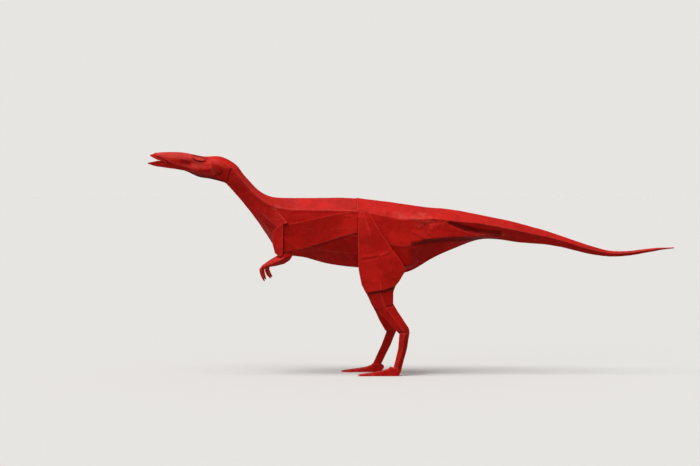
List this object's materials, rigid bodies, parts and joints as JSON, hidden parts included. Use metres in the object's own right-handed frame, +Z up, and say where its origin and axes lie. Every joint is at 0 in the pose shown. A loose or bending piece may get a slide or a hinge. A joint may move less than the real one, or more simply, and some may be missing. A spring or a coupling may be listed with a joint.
{
  "type": "origami velociraptor",
  "caption": "Folded red paper raptor standing in mid-stride, with a long S-curved tail, open beak, tucked forearms and folded legs.",
  "frame": {"origin": "on the ground under the middle of the model's length and width, level with the flat soles of the feet", "axes": "+X points from the beak to the tip of the tail, +Z up, and the raptor's left side faces -Y"},
  "size_m": [0.263, 0.0278, 0.111],
  "materials": {
    "red_paper": "matt handmade paper, dyed red through, with a faint sheen on its creases"
  },
  "bodies": {
    "root": {"folded_sheet": "red_paper"}
  },
  "joints": []
}
